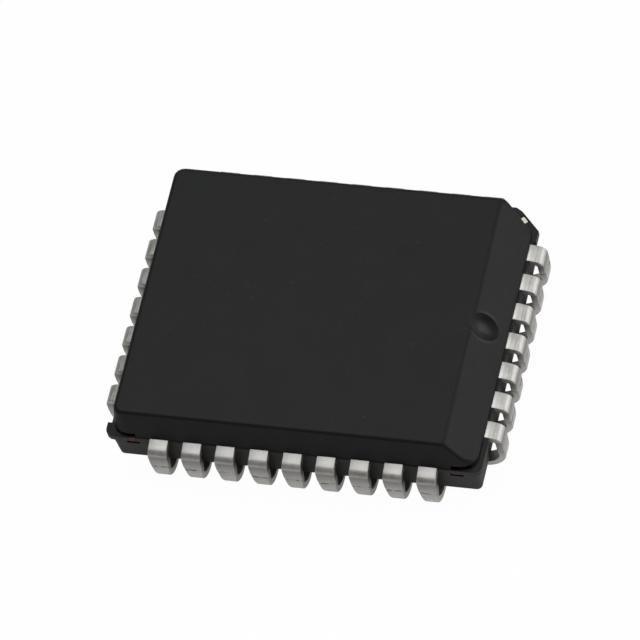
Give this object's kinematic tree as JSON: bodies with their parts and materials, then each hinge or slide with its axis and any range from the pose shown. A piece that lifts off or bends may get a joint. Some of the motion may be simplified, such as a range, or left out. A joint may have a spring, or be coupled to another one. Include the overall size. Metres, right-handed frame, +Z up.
{
  "type": "plcc chip",
  "caption": "Plastic leaded chip carrier: drafted black moulding with a bevelled end, a dimple and a cut corner, on J-shaped leads curled under it",
  "frame": {"origin": "on the board plane that the leads rest on, under the middle of the package", "axes": "+Z up, +X along the long sides towards the bevelled end with the pin 1 dimple, +Y towards the side that meets it at the chamfered corner"},
  "size_m": [0.015, 0.0124, 0.0034],
  "materials": {
    "moulding_compound": "fine matte moulded epoxy",
    "tinned_lead": "satin tin plating",
    "lead_frame_copper": "bare rolled copper alloy",
    "silver_epoxy": "cured silver-filled glue",
    "silicon": "polished grey silicon"
  },
  "bodies": {
    "root": {"moulded_body": "moulding_compound", "lead_01": "tinned_lead", "lead_02": "tinned_lead", "lead_03": "tinned_lead", "lead_04": "tinned_lead", "lead_05": "tinned_lead", "lead_06": "tinned_lead", "lead_07": "tinned_lead", "lead_08": "tinned_lead", "lead_09": "tinned_lead", "lead_10": "tinned_lead", "lead_11": "tinned_lead", "lead_12": "tinned_lead", "lead_13": "tinned_lead", "lead_14": "tinned_lead", "lead_15": "tinned_lead", "lead_16": "tinned_lead", "lead_17": "tinned_lead", "lead_18": "tinned_lead", "lead_19": "tinned_lead", "lead_20": "tinned_lead", "lead_21": "tinned_lead", "lead_22": "tinned_lead", "lead_23": "tinned_lead", "lead_24": "tinned_lead", "lead_25": "tinned_lead", "lead_26": "tinned_lead", "lead_27": "tinned_lead", "lead_28": "tinned_lead", "lead_29": "tinned_lead", "lead_30": "tinned_lead", "lead_31": "tinned_lead", "lead_32": "tinned_lead", "die_paddle": "lead_frame_copper", "die_attach": "silver_epoxy", "silicon_die": "silicon"}
  },
  "joints": []
}
